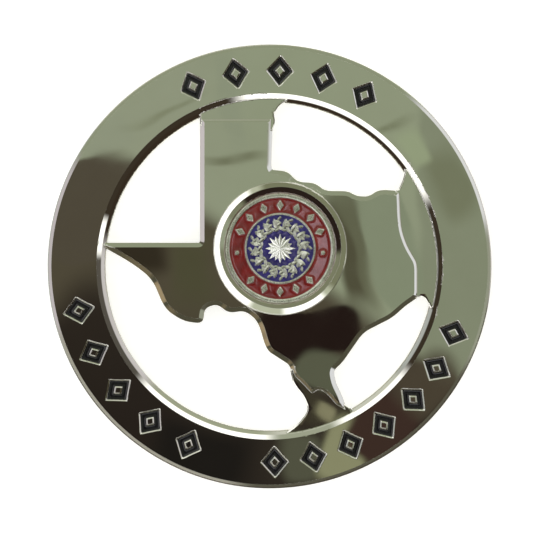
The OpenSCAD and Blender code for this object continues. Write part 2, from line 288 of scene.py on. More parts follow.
def mark_sink(x, y):
    """Depth of the sunk marks under the ring's face, with a sloped lip round each."""
    d = in_lozenge(*nearest_frame(x, y, mark_angles, MARK_R), MARK_H, MARK_W)
    d = smin(d, MARK_LINE - d, MARK_FILLET)
    lip = -smax(np.zeros_like(d), (d + LIP_W) * LIP_TAN, LIP_FILLET)
    wall = -LIP_W * LIP_TAN - d * WALL_TAN
    return np.maximum(smin(lip, wall, MARK_FILLET), -MARK_DEPTH)


def face_height(x, y, in_map, in_web):
    """Height of the struck face, where in_map and in_web are distances into map and webs."""
    r = np.hypot(x, y)
    ring = -RIM_DROP * rounded_off((BADGE_R - r) / RIM_W) - rolled((r - WINDOW_R) / SHOULDER_W)
    ring += np.minimum(r - WINDOW_R, 0) * SKIRT
    land = -BEVEL_DROP * rounded_off(in_map / BEVEL_W) + np.minimum(in_map, 0) * SKIRT
    web = -WEB_DROP - WEB_EDGE_DROP * rounded_off(in_web / WEB_EDGE_W) + np.minimum(in_web, 0) * SKIRT
    z = crown(r) + waviness(x, y) + smax(smax(ring, land, FILLET), web, FILLET) + mark_sink(x, y)
    x, y = x - SEAL[0], y - SEAL[1]
    z = smax(z, bezel_height(x, y), BEZEL_FILLET)
    return np.where(np.hypot(x, y) < SEAL_R + 0.02, SEAT_Z, z)


print("crown at the rim:", round(float(crown(BADGE_R)), 3), "mm")

# %% [markdown]
# A struck or poured surface becomes a mesh in three steps. Points are scattered finely along every
# edge and sparsely on the open face. A constrained Delaunay triangulation joins them, keeping the
# borders as edges. Then each point is lifted to its height, walls go down from the borders to a
# flat base, and the exact tilt of the surface is stored as custom normals, so that a mirror finish
# has no facets.


# %% Turn a height into a closed piece of metal
def polar(radius, angles):
    return np.column_stack([radius * np.cos(angles), radius * np.sin(angles)])


def circle(radius, count, centre=(0.0, 0.0)):
    return polar(radius, np.arange(count) * 2 * math.pi / count) + centre


def normed(vectors):
    return vectors / np.maximum(np.linalg.norm(vectors, axis=1), 1e-9)[:, None]


def closed_edges(borders):
    """All points of several closed lines, and the edges that close them."""
    edges, first = [], 0
    for line in borders:
        n = len(line)
        edges += [(first + i, first + (i + 1) % n) for i in range(n)]
        first += n
    return np.concatenate(borders), edges


def triangles(points, edges):
    """Delaunay triangles over points, which keep the given edges."""
    xy, _, faces, source, *_ = delaunay_2d_cdt([Vector(p) for p in points], edges, [], 0, 1e-4)
    xy, faces = np.array([tuple(p) for p in xy]), np.array(faces)
    corner = xy[faces]
    one, two = corner[:, 1] - corner[:, 0], corner[:, 2] - corner[:, 0]
    area = one[:, 0] * two[:, 1] - one[:, 1] * two[:, 0]
    faces = np.where(area[:, None] < 0, faces[:, ::-1], faces)[np.abs(area) > 1e-9]
    return xy, faces, [ids[0] if ids else -1 for ids in source]


def side_of(d, faces):
    """Which side of a border each triangle is on, told by its corner furthest from the border."""
    d = d[faces]
    return d[np.arange(len(d)), np.abs(d).argmax(1)]


def border_edges(faces):
    """Directed edges that only one triangle has."""
    edges = np.concatenate([faces[:, [0, 1]], faces[:, [1, 2]], faces[:, [2, 0]]])
    _, back, count = np.unique(np.sort(edges, 1), axis=0, return_inverse=True, return_counts=True)
    return edges[count[back.ravel()] == 1]


def in_scene(name, data):
    """A new object of the scene that holds a mesh, a camera or a lamp."""
    thing = bpy.data.objects.new(name, data)
    scene.collection.objects.link(thing)
    return thing


def mesh_of(name, points, polygons, sharp=None):
    """A mesh from points in millimetres, smooth up to edges of the angle sharp in degrees."""
    mesh = bpy.data.meshes.new(name)
    mesh.from_pydata((np.asarray(points) * MM).tolist(), [], polygons)
    if sharp:
        mesh.shade_smooth()
        mesh.set_sharp_from_angle(angle=math.radians(sharp))
    return mesh


def height_piece(name, xy, faces, z, tilt, base_z, at=(0.0, 0.0)):
    """A closed piece: a lifted face, walls down from its borders, and a flat base at base_z."""
    used = np.unique(faces)
    again = np.full(len(xy), -1)
    again[used] = np.arange(len(used))
    xy, faces, z, tilt = xy[used], again[faces], z[used], tilt[used]
    rim = border_edges(faces)
    ring = np.unique(rim)
    low = np.full(len(xy), -1)
    low[ring] = np.arange(len(ring))
    base_xy, base, source = triangles(xy[ring], low[rim].tolist())
    middles = base_xy[base].mean(1)[:, None, :]
    base = base[np.concatenate([enclosed(middles[s:s + BLOCK], *xy[rim.T])
                                for s in range(0, len(base), BLOCK)])]
    low[ring[[s for s in source if s >= 0]]] = [i for i, s in enumerate(source) if s >= 0]
    walls = np.column_stack([rim[:, 1], rim[:, 0], low[rim[:, 0]] + len(xy), low[rim[:, 1]] + len(xy)])
    top = np.column_stack([xy + at, z])
    bottom = np.column_stack([base_xy + at, np.full(len(base_xy), base_z)])
    mesh = mesh_of(name, np.concatenate([top, bottom]),
                   [*faces.tolist(), *walls.tolist(), *(base[:, ::-1] + len(xy)).tolist()])
    along = top[rim[:, 1], :2] - top[rim[:, 0], :2]
    out = normed(np.column_stack([along[:, 1], -along[:, 0], np.zeros(len(along))]))
    total = np.zeros((len(xy), 3))
    np.add.at(total, rim[:, 0], out)
    np.add.at(total, rim[:, 1], out)
    wall_tilt = normed(total)[rim[:, [1, 0, 0, 1]]]
    normals = np.concatenate([tilt[faces].reshape(-1, 3), wall_tilt.reshape(-1, 3),
                              np.tile([0.0, 0.0, -1.0], (base.size, 1))])
    mesh.shade_smooth()
    mesh.normals_split_custom_set(normals.tolist())
    print(f"{name}: {len(faces)} faces on top, {len(walls)} in the walls, {len(base)} below")
    return in_scene(name, mesh)


def tilt_of(height, xy, eps=0.001):
    """The surface's normal at each point, where height takes small steps in x and y."""
    dx = (height(eps, 0.0) - height(-eps, 0.0)) / (2 * eps)
    dy = (height(0.0, eps) - height(0.0, -eps)) / (2 * eps)
    return normed(np.column_stack([-dx, -dy, np.ones(len(xy))]))


# %% [markdown]
# Points stand close together where the face bends: round the rim, down the shoulder, along the
# map's edge, over the bezel and round each mark. Elsewhere a loose honeycomb of points is enough.

# %% Points of the badge's face
RIM_COUNT, SHOULDER_COUNT, BEZEL_COUNT = 540, 460, 260  # points on each loose circle
COMB_STEP, CREASE_GAP = 0.5, 0.18


def honeycomb(radius, step):
    """Points of a honeycomb inside a circle."""
    n = math.ceil(radius / step)
    i, j = np.meshgrid(np.arange(-n, n + 1), np.arange(-2 * n, 2 * n + 1))
    xy = np.column_stack([(i + j % 2 / 2).ravel() * step, j.ravel() * step * math.sqrt(3) / 2])
    return xy[np.hypot(*xy.T) < radius]


def beside(line, d):
    """Points at distance d inside a border: its own points, moved along their normals."""
    along = normed(np.roll(line, -1, 0) - np.roll(line, 1, 0))
    moved = line + np.column_stack([-along[:, 1], along[:, 0]]) * d
    return moved[np.abs(reach(moved, line)[0] - d) < 0.02]


def lozenge_line(length, width, inset, count):
    """Points round a soft-cornered lozenge, at distance inset inside its sides."""
    a = np.arange(count) * 2 * math.pi / count
    low, high = np.zeros(count), np.full(count, length)
    for _ in range(30):
        mid = (low + high) / 2
        within = in_lozenge(mid * np.cos(a), mid * np.sin(a), length, width) > inset
        low, high = np.where(within, mid, low), np.where(within, high, mid)
    return polar(low, a)


def placed(line, angle, radius):
    """A line in a mark's own frame, put in its place on the ring."""
    c, s = math.cos(angle), math.sin(angle)
    x, y = line[:, 0] + radius, line[:, 1]
    return np.column_stack([x * c - y * s, x * s + y * c])


rim_steps = [0.03, 0.1, 0.2, 0.3, 0.4, 0.46, 0.497, 0.503, 0.54, 0.6, 0.8]
shoulder_shares = [0.02, 0.05, 0.09, 0.13, 0.18, 0.25, 0.33, 0.403, 0.409, 0.46, 0.58, 0.7, 0.8, 0.88,
                   0.95, 0.998, 1.002]
edge_steps = [0.03, 0.1, 0.17, 0.231, 0.237, 0.34, 0.46, 0.55, 0.597, 0.603, 0.65, 0.75, 0.95]
lip_steps = [-0.24, -0.18, -0.14, -0.08, -0.03, 0.01, 0.04, 0.09]
bezel_radii = [7.11, 7.14, 7.18, 7.3, 7.45, 8.1, 8.25, 8.38, 8.44, 8.465, 8.48, 8.495, 8.51, 8.525,
               8.54, 8.555, 8.57, 8.6, 8.66, 8.8]
loose = [circle(BADGE_R - d, RIM_COUNT) for d in rim_steps]
loose += [circle(WINDOW_R + SHOULDER_W * s, SHOULDER_COUNT) for s in shoulder_shares]
loose += [circle(WINDOW_R + SHOULDER_W + d, SHOULDER_COUNT) for d in (0.06, 0.15, 0.3)]
loose += [circle(WINDOW_R - d, SHOULDER_COUNT) for d in (0.03, 0.07, 0.13, 0.22)]
loose += [beside(map_line, d) for d in edge_steps]
loose += [beside(map_line, -d) for d in (0.02, 0.06, 0.12)]
loose += [beside(line, d) for line in web_lines for d in (0.04, 0.09, 0.14)]
loose += [circle(q, BEZEL_COUNT, SEAL) for q in bezel_radii]
loose += [circle(CREST_R + d, BEZEL_COUNT, SEAL + CREST_SHIFT)
          for d in (-0.12, -0.05, -0.02, 0, 0.02, 0.05, 0.12)]
loose += [circle(SEAL_R - 0.5, 90, SEAL)]
for angle in mark_angles:
    for d in lip_steps:
        for inset, count in ((d, 88), (MARK_LINE - d, 52)):
            loose.append(placed(lozenge_line(MARK_H, MARK_W, inset, count), angle, MARK_R))
comb = honeycomb(BADGE_R - 0.3, COMB_STEP)
comb = comb[np.hypot(*(comb - SEAL).T) > BEZEL_R + COMB_STEP]
comb_r = np.hypot(*comb.T)
crease = [comb_r - BADGE_R + RIM_W, comb_r - WINDOW_R - SHOULDER_W, reach(comb, map_line)[0] - BEVEL_W]
loose.append(comb[np.abs(crease).min(0) > CREASE_GAP])
loose = np.concatenate(loose)
print("loose points:", len(loose))

# %% [markdown]
# Not every loose point is metal: those in the four open windows are dropped. What is left is
# joined with the borders themselves, and a triangle stays where it lies on the ring, the map, a
# web or the bezel.

# %% The struck plate
FAR = 30.0
OUTLINES_R = WINDOW_R * 1.08  # no outline reaches further out
RIM_BORDER, WINDOW_BORDER = 720, 600  # points on the borders
CLEAR, UNSURE = 0.02, 0.001  # least distance of loose points, and of a triangle that is told surely


def survey(xy):
    """For each point: distances into the map and the webs, and the ways in which they grow."""
    near = np.hypot(*xy.T) < OUTLINES_R
    found = []
    for line in [map_line, *web_lines]:
        d, way = np.full(len(xy), -FAR), np.zeros((len(xy), 2))
        d[near], way[near] = reach(xy[near], line)
        found.append((d, way))
    return found


def metal(xy, found):
    """Signed distances into each part of the plate."""
    r, q = np.hypot(*xy.T), np.hypot(*(xy - SEAL).T)
    return [np.minimum(r - WINDOW_R, BADGE_R - r), BEZEL_R - q, *[d for d, _ in found]]


loose = loose[np.max(metal(loose, survey(loose)), 0) > CLEAR]
borders = [circle(BADGE_R, RIM_BORDER), circle(WINDOW_R, WINDOW_BORDER), map_line, *web_lines]
# the face drops to the medallion's seat between the last two circles
borders += [circle(q, BEZEL_COUNT, SEAL) for q in (BEZEL_R, SEAL_R + 0.03, SEAL_R + 0.01)]
border_points, border_list = closed_edges(borders)
xy, faces, _ = triangles(np.concatenate([border_points, loose]), border_list)
found = survey(xy)
sides = np.array([side_of(d, faces) for d in metal(xy, found)])
unsure = (np.abs(sides) < UNSURE).any(0)
middles = xy[faces[unsure]].mean(1)
sides[:, unsure] = metal(middles, survey(middles))
faces = faces[sides.max(0) > 0]
(in_map, map_way), *webs = found
pick = np.argmax([d for d, _ in webs], 0)
row = np.arange(len(xy))
in_web = np.array([d for d, _ in webs])[pick, row]
web_way = np.array([way for _, way in webs])[pick, row]


def plate_height(ex=0.0, ey=0.0):
    step = (ex, ey)
    return face_height(xy[:, 0] + ex, xy[:, 1] + ey, in_map + map_way @ step, in_web + web_way @ step)


struck_plate = height_piece("struck_plate", xy, faces, plate_height(), tilt_of(plate_height, xy), BACK_Z)

# %% [markdown]
# Many small shapes repeat along arcs: the enamel of the marks, the lozenges on the red ring and the
# leaves round the blue field. One Geometry Nodes tree sets any of them out. It scatters points
# along an arc, turns one copy of the shape to each, and ends by making the copies real mesh.

# %% A Geometry Nodes tree that repeats a shape along an arc
ARC_INPUTS = {
    "Shape": "Geometry", "Count": "Int", "First angle": "Float", "Last angle": "Float",
    "Radius": "Float", "Height": "Float", "Own turn": "Float", "Unevenness": "Float",
    "Middle": "Vector", "Finish": "Material",
}
SEED = 7


def fill(tree, node, inputs):
    """Gives a node's inputs values, or links them to other nodes' outputs."""
    for key, value in dict(inputs).items():
        if isinstance(value, bpy.types.NodeSocket):
            tree.links.new(value, node.inputs[key])
        else:
            node.inputs[key].default_value = value


def add_node(tree, kind, inputs=(), **settings):
    node = tree.nodes.new(kind)
    for key, value in settings.items():
        setattr(node, key, value)
    fill(tree, node, inputs)
    return node


def maths(tree, operation, *values):
    """The output of a Math node whose inputs are numbers or other nodes' outputs."""
    return add_node(tree, "ShaderNodeMath", enumerate(values), operation=operation).outputs[0]


def arc_tree():
    tree = bpy.data.node_groups.new("shapes along an arc", "GeometryNodeTree")
    for label, kind in ARC_INPUTS.items():
        tree.interface.new_socket(label, in_out="INPUT", socket_type="NodeSocket" + kind)
    tree.interface.new_socket("Row", in_out="OUTPUT", socket_type="NodeSocketGeometry")
    given = tree.nodes.new("NodeGroupInput").outputs
    index = tree.nodes.new("GeometryNodeInputIndex").outputs[0]
    share = maths(tree, "DIVIDE", index,
                  maths(tree, "MAXIMUM", maths(tree, "SUBTRACT", given["Count"], 1), 1))
    sweep = maths(tree, "SUBTRACT", given["Last angle"], given["First angle"])
    angle = maths(tree, "ADD", given["First angle"], maths(tree, "MULTIPLY", sweep, share))
    place = add_node(tree, "ShaderNodeCombineXYZ", {
        0: maths(tree, "MULTIPLY", given["Radius"], maths(tree, "COSINE", angle)),
        1: maths(tree, "MULTIPLY", given["Radius"], maths(tree, "SINE", angle)),
        2: given["Height"]})
    centred = add_node(tree, "ShaderNodeVectorMath", {0: place.outputs[0], 1: given["Middle"]},
                       operation="ADD")
    points = add_node(tree, "GeometryNodePoints",
                      {"Count": given["Count"], "Position": centred.outputs[0]})
    # inputs 2 and 3 and output 1 of this node are those for plain numbers
    wobble = add_node(tree, "FunctionNodeRandomValue", {
        2: maths(tree, "MULTIPLY", given["Unevenness"], -1), 3: given["Unevenness"], "Seed": SEED},
        data_type="FLOAT").outputs[1]
    own = maths(tree, "ADD", maths(tree, "ADD", angle, given["Own turn"]), wobble)
    turn = add_node(tree, "ShaderNodeCombineXYZ", {2: own})
    rotation = add_node(tree, "FunctionNodeEulerToRotation", {0: turn.outputs[0]})
    copies = add_node(tree, "GeometryNodeInstanceOnPoints", {
        "Points": points.outputs[0], "Instance": given["Shape"], "Rotation": rotation.outputs[0]})
    real = add_node(tree, "GeometryNodeRealizeInstances", {0: copies.outputs[0]})
    painted = add_node(tree, "GeometryNodeSetMaterial",
                       {"Geometry": real.outputs[0], "Material": given["Finish"]})
    add_node(tree, "NodeGroupOutput", {0: painted.outputs[0]})
    return tree


shapes_along_arc = arc_tree()


def row_of(shape, finish, count, first, last, radius, z, own_turn=0.0, unevenness=0.0, middle=(0.0, 0.0)):
    """A plain mesh with count copies of a mesh along an arc; angles in degrees, lengths in mm."""
    holder = in_scene("holder", shape)
    modifier = holder.modifiers.new("row", "NODES")
    modifier.node_group = shapes_along_arc
    values = {
        "Count": count, "First angle": math.radians(first), "Last angle": math.radians(last),
        "Radius": radius * MM, "Height": z * MM, "Own turn": math.radians(own_turn),
        "Unevenness": math.radians(unevenness), "Middle": (middle[0] * MM, middle[1] * MM, 0.0),
        "Finish": finish,
    }
    for item in shapes_along_arc.interface.items_tree:
        if item.in_out == "INPUT" and item.name in values:
            modifier[item.identifier] = values[item.name]
    bpy.context.view_layer.update()
    evaluated = holder.evaluated_get(bpy.context.evaluated_depsgraph_get())
    mesh = bpy.data.meshes.new_from_object(evaluated)
    holder.modifiers.remove(modifier)
    bpy.data.objects.remove(holder)
    return mesh


def joined(name, meshes):
    """One object that holds several meshes."""
    bm = bmesh.new()
    for mesh in meshes:
        bm.from_mesh(mesh)
    whole = bpy.data.meshes.new(name)
    bm.to_mesh(whole)
    bm.free()
    for material in meshes[0].materials:
        whole.materials.append(material)
    print(f"{name}: {len(whole.polygons)} faces")
    return in_scene(name, whole)


print("inputs of the tree:", ", ".join(ARC_INPUTS))

# %% [markdown]
# Finishes come next, because the tree above hands one to each row. A finish is a set of inputs for
# one shader, worked out from the place on the piece: noise that is stretched into polishing lines,
# clouds or specks, spread over a range of tones, roughness or height.


# %% Helpers for finishes
def mixed(tree, share, a, b):
    """A mix of two colours, each in numbers or from another node; the node has them at 6 and 7."""
    a, b = ((*tone, 1) if isinstance(tone, tuple) else tone for tone in (a, b))
    return add_node(tree, "ShaderNodeMix", {0: share, 6: a, 7: b}, data_type="RGBA").outputs[2]


def noise(tree, place, scale, detail, turn=0.0):
    """Noise with scale in repeats for each metre, one number or three along the turned axes."""
    scale = scale if isinstance(scale, tuple) else (scale, scale, scale)
    mapping = add_node(tree, "ShaderNodeMapping",
                       {"Vector": place, "Rotation": (0, 0, math.radians(turn)), "Scale": scale})
    return add_node(tree, "ShaderNodeTexNoise",
                    {"Vector": mapping.outputs[0], "Scale": 1, "Detail": detail}).outputs["Fac"]


def between(tree, value, low, high, to_low=0, to_high=1):
    """A value spread from one range to another, smoothly and with ends."""
    return add_node(tree, "ShaderNodeMapRange", enumerate((value, low, high, to_low, to_high)),
                    interpolation_type="SMOOTHSTEP").outputs[0]


def bump(tree, height, distance):
    return add_node(tree, "ShaderNodeBump", {"Height": height, "Distance": distance}).outputs[0]


def new_finish(name, look, *details):
    """A material whose shader takes its inputs from a look."""
    material = bpy.data.materials.new(name)
    material.use_nodes = True
    tree = material.node_tree
    shader = next(n for n in tree.nodes if n.type == "BSDF_PRINCIPLED")
    place = tree.nodes.new("ShaderNodeTexCoord").outputs["Object"]
    fill(tree, shader, look(tree, place, *details))
    return material


# %% [markdown]
# Polished nickel is a mirror with a warm grey tint, faint polishing lines and a breath of dullness
# here and there, and it is left satin on the back. The medallion is struck from a paler metal and
# has a satin face. The enamels are glass: deep colour under a clear gloss, with a faint ripple and
# specks.


# %% Polished nickel, struck silver, pin steel and enamel
def polished_nickel(tree, place):
    cloud = noise(tree, place, 260, 4)
    lines = noise(tree, place, (900, 26000, 900), 3, 34)
    cross = noise(tree, place, (24000, 1100, 900), 3, 12)
    grain = noise(tree, place, (3000, 14000, 900), 3, 8)
    height = add_node(tree, "ShaderNodeSeparateXYZ", {0: place}).outputs[2]
    back = between(tree, height, (BACK_Z + 0.05) * MM, (BACK_Z + 0.2) * MM, 1, 0)
    satin = maths(tree, "MULTIPLY", back, between(tree, grain, 0.3, 0.7, 0.22, 0.36))
    worn = maths(tree, "MULTIPLY", between(tree, lines, 0.55, 0.8), 0.02)
    bright = maths(tree, "ADD", between(tree, cloud, 0.35, 0.7, 0.012, 0.03), worn)
    return {
        "Base Color": mixed(tree, cloud, (0.78, 0.765, 0.70), (0.84, 0.83, 0.77)),
        "Metallic": 1,
        "Roughness": maths(tree, "ADD", bright, satin),
        "Normal": bump(tree, maths(tree, "ADD", lines, cross), 4e-8),
    }


def struck_silver(tree, place, dark, light, low_rough, high_rough):
    cloud, grain = noise(tree, place, 900, 4), noise(tree, place, 9000, 3)
    return {
        "Base Color": mixed(tree, between(tree, cloud, 0.3, 0.7), dark, light),
        "Metallic": 1,
        "Roughness": between(tree, grain, 0.3, 0.7, low_rough, high_rough),
        "Normal": bump(tree, grain, 0.000012),
    }


def pin_steel(tree, place):
    cloud, lines = noise(tree, place, 300, 3), noise(tree, place, (700, 14000, 14000), 3)
    return {
        "Base Color": mixed(tree, cloud, (0.50, 0.49, 0.46), (0.66, 0.65, 0.61)),
        "Metallic": 1,
        "Roughness": between(tree, lines, 0.3, 0.7, 0.18, 0.34),
        "Normal": bump(tree, lines, 0.000004),
    }


def enamel(tree, place, deep, light, rough, ripple, coat):
    """Fired glass over metal: two close tones, fine specks, a slow ripple and a clear coat."""
    cloud, specks = noise(tree, place, 700, 3), noise(tree, place, 16000, 2)
    tone = maths(tree, "ADD", maths(tree, "MULTIPLY", cloud, 0.7), maths(tree, "MULTIPLY", specks, 0.3))
    return {
        "Base Color": mixed(tree, between(tree, tone, 0.35, 0.65), deep, light),
        "Roughness": between(tree, specks, 0.4, 0.8, rough, rough + 0.12),
        "Coat Weight": coat,
        "Coat Roughness": 0.07,
        "Normal": bump(tree, cloud, ripple),
    }


NICKEL, STEEL = new_finish("polished nickel", polished_nickel), new_finish("pin steel", pin_steel)
SILVER = new_finish("struck silver", struck_silver, (0.60, 0.62, 0.52), (0.80, 0.82, 0.72), 0.20, 0.38)
# the sunburst is the same struck silver; this paler copy paints in the highlight that its facets catch
SUNBURST_HIGHLIT = new_finish("silver with painted highlight", struck_silver, (0.86, 0.86, 0.82), (0.96, 0.96, 0.93), 0.18, 0.30)
RED = new_finish("red enamel", enamel, (0.13, 0.004, 0.004), (0.20, 0.008, 0.008), 0.1, 0.000012, 1)
BLUE = new_finish("blue enamel", enamel, (0.014, 0.010, 0.09), (0.028, 0.020, 0.16), 0.2, 0.00003, 0.5)
BLACK = new_finish("black enamel", enamel, (0.003, 0.003, 0.004), (0.008, 0.007, 0.010), 0.1, 0.00002, 0.1)
struck_plate.data.materials.append(NICKEL)
print("finishes:", ", ".join(m.name for m in (NICKEL, SILVER, SUNBURST_HIGHLIT, STEEL, RED, BLUE, BLACK)))

# %% [markdown]
# The black enamel sits low in each sunk mark. Poured glass wets the metal, so it creeps up the
# walls a little and sags between them. One mark's enamel is drawn here as seven loops of points
# and a flat foot, and the tree sets it out along the three rows.


# %% The black enamel of the marks
def quads(count, pairs):
    """Faces between pairs of loops, each named by its place among loops of count points."""
    return [(a * count + i, a * count + (i + 1) % count, b * count + (i + 1) % count, b * count + i)
            for a, b in pairs for i in range(count)]


def looped_mesh(name, loops):
    """A closed ring-shaped mesh through loops of equally many points; the last joins the first."""
    pairs = [(k, (k + 1) % len(loops)) for k in range(len(loops))]
    return mesh_of(name, np.concatenate(loops), quads(len(loops[0]), pairs), 50)


def at_height(line, z):
    return np.column_stack([line, np.full(len(line), z)])


# share of the line's width from the outer side, rise over the enamel's level
MENISCUS = [(0.03, 0.05), (0.07, 0.015), (0.16, -0.015), (0.5, -0.03), (0.84, -0.015), (0.93, 0.015),
            (0.97, 0.05)]
section = [(share, MARK_FILL + rise) for share, rise in MENISCUS] + [(0.97, 0.0), (0.03, 0.0)]
mark_floor = float(crown(MARK_R)) - MARK_DEPTH + ENAMEL_GAP
one_mark = looped_mesh("one mark", [at_height(lozenge_line(MARK_H, MARK_W, share * MARK_LINE, 96), z)
                                    for share, z in section])
mark_enamel = joined("mark_enamel", [row_of(one_mark, BLACK, count, first, last, MARK_R, mark_floor)
                                     for count, first, last in MARK_ROWS.values()])

# %% [markdown]
# The medallion's body is turned: one profile goes out from the axis under its foot, up round the
# rim and back in over the beds and the fences. The rim stands a little proud of the enamel and has
# softly worn edges.


# %% The medallion's body
def turned_mesh(name, profile, centre=(0.0, 0.0), count=192):
    """A closed mesh of a profile of radius and height, turned round an upright axis, foot first."""
    rings = [at_height(circle(radius, count if radius else 1, centre), z) for radius, z in profile]
    starts = np.cumsum([0, *map(len, rings)]).tolist()
    polygons = []
    for s0, s1, s2 in zip(starts, starts[1:], starts[2:]):
        for i in range(count):
            j = (i + 1) % count
            corners = (s0 + i % (s1 - s0), s0 + j % (s1 - s0), s1 + j % (s2 - s1), s1 + i % (s2 - s1))
            polygons.append(tuple(dict.fromkeys(corners)))
    return mesh_of(name, np.concatenate(rings), polygons, 40)


SEAL_PROFILE = [
    (0, SEAL_FOOT), (SEAL_R - 0.06, SEAL_FOOT), (SEAL_R, SEAL_FOOT + 0.06), (SEAL_R, SEAL_TOP - 0.15),
    (SEAL_R - 0.02, SEAL_TOP - 0.07), (SEAL_R - 0.07, SEAL_TOP - 0.02), (SEAL_R - 0.15, SEAL_TOP),
    (SEAL_R - 0.34, SEAL_TOP), (RED_OUT + 0.05, SEAL_TOP - 0.02), (RED_OUT, SEAL_TOP - 0.07),
    (RED_OUT, BED_Z), (RED_IN, BED_Z), (RED_IN, SEAL_TOP - 0.06), (RED_IN - 0.03, SEAL_TOP - 0.015),
    (RED_IN - 0.08, SEAL_TOP), (FIELD_R + 0.08, SEAL_TOP), (FIELD_R + 0.03, SEAL_TOP - 0.015),
    (FIELD_R, SEAL_TOP - 0.06), (FIELD_R, BED_Z), (0, BED_Z),
]
seal_mesh = turned_mesh("seal body", SEAL_PROFILE, SEAL)
seal_mesh.materials.append(SILVER)
seal_body = joined("seal_body", [seal_mesh])

# %% [markdown]
# The medallion's raised work is plain ornament: lozenges and two pellets on the red ring, a wreath
# of leaves and berries on the blue field and a faceted sunburst in the middle. Each shape is drawn
# once.

# %% The medallion's raised work
LEAVES, LEAF_FIRST = 16, 11.25
BURST_R, BURST_RIM, BURST_PEAK = 1.92, 0.42, 0.56
TOP = SEAL_TOP - BED_Z


def prism(name, levels):
    """A closed mesh through loops from foot to top, with a face at each end."""
    count, n = len(levels[0]), len(levels)
    ends = [tuple(range(count - 1, -1, -1)), tuple(range((n - 1) * count, n * count))]
    return mesh_of(name, np.concatenate(levels), ends + quads(count, [(k, k + 1) for k in range(n - 1)]))


def leaf_mesh(name, length, width, ridge, edge, n=9):
    """A leaf along x with a sharp midrib and n points a side; ridge and edge are heights."""
    t = np.linspace(0, 1, n)
    half = width / 2 * np.sin(math.pi * t ** 0.85) ** 0.8
    half[0] = half[-1] = 0.004
    rise = edge + (ridge - edge) * np.sin(math.pi * t) ** 0.4
    rows = [(1, 0 * t), (1, 0 * t + edge), (0, rise), (-1, 0 * t + edge), (-1, 0 * t)]
    points = np.concatenate([np.column_stack([(t - 0.5) * length, sign * half, z]) for sign, z in rows])
    polygons = [(a * n + i, a * n + i + 1, b * n + i + 1, b * n + i)
                for a, b in ((0, 1), (1, 2), (2, 3), (3, 4), (4, 0)) for i in range(n - 1)]
    polygons += [tuple(range(0, 5 * n, n)), tuple(range(5 * n - 1, 0, -n))]
    return mesh_of(name, points, polygons)


def burst_line(reach_out, points=8, short=0.86, notch=0.62):
    """Corners of a sunburst: long rays, short rays and the notches between them."""
    k = np.arange(4 * points)
    return polar(reach_out * np.where(k % 2 == 1, notch, np.where(k % 4 == 0, 1.0, short)),
                 k * math.pi / 2 / points)


lozenge = prism("lozenge", [at_height(lozenge_line(LOZ_L, LOZ_W, inset, 40), z)
                            for inset, z in ((0, -0.02), (0, TOP - 0.08), (0.03, TOP - 0.03), (0.1, TOP))])
pellet = prism("pellet", [at_height(circle(PELLET_R * s, 20), z) for s, z in (
    (1, -0.02), (1, TOP - 0.13), (0.88, TOP - 0.05), (0.6, TOP - 0.01), (0.2, TOP))])
berry = prism("berry", [at_height(circle(0.16 * s, 12), z) for s, z in (
    (1, -0.02), (1, TOP - 0.1), (0.8, TOP - 0.04), (0.4, TOP))])
leaf = leaf_mesh("leaf", LEAF_L, LEAF_W, TOP + 0.03, TOP - 0.09)
laurel = leaf_mesh("laurel", 1.0, 0.46, TOP + 0.01, TOP - 0.1)
sprig = leaf_mesh("sprig", 0.7, 0.34, TOP, TOP - 0.1)
WREATH = [
    # shape, radius, first angle, own turn, unevenness
    (leaf, LEAF_R, LEAF_FIRST, 0, 3), (laurel, 2.62, 0, 62, 9), (laurel, 3.05, 4, 118, 9),
    (laurel, 3.45, 8, 70, 9), (sprig, 3.8, 2, 125, 9), (sprig, 2.4, 9, 110, 9), (berry, 3.98, 0, 0, 0),
]
rows = [row_of(lozenge, SILVER, n, a, b, RED_MID, BED_Z, unevenness=1.5, middle=SEAL)
        for n, a, b in LOZENGE_ROWS]
rows.append(row_of(pellet, SILVER, 2, *PELLET_ANGLES, RED_MID, BED_Z, middle=SEAL))
for shape, radius, first, own_turn, unevenness in WREATH:
    last = first + 360 * (LEAVES - 1) / LEAVES
    rows.append(row_of(shape, SILVER, LEAVES, first, last, radius, BED_Z, own_turn, unevenness, SEAL))
seal_relief = joined("seal_relief", rows)


def sunburst_mesh():
    """The faceted sunburst: each ray has a ridge from its tip to the peak in the middle."""
    line = burst_line(BURST_R)
    n = len(line)
    points = np.concatenate([at_height(line, 0.0), at_height(line, BURST_RIM),
                             [[0, 0, BURST_PEAK], [0, 0, 0.0]]])
    polygons = []
    for i in range(n):
        j = (i + 1) % n
        polygons += [(i, j, n + j, n + i), (n + i, n + j, 2 * n), (j, i, 2 * n + 1)]
    mesh = mesh_of("sunburst", points + (*SEAL, BED_Z), polygons)
    # the paler silver here is a painted highlight on the same struck metal
    mesh.materials.append(SUNBURST_HIGHLIT)
    return mesh


sunburst = joined("sunburst", [sunburst_mesh()])

# %% [markdown]
# The red ring and the blue field are poured glass too. Their surfaces are measured against the
# walls and the main raised shapes, and rise a little where they touch metal.

# %% The red and blue enamel
MENISCUS_H, MENISCUS_W, SAG = 0.06, 0.08, 0.02
WALL_STEPS, POUR_STEP, POUR_GAP = (0.04, 0.1, 0.2), 0.16, 0.25
BURST_MID, BURST_GAP = 1.55, 0.1  # a circle through the sunburst's rays, and how near they come


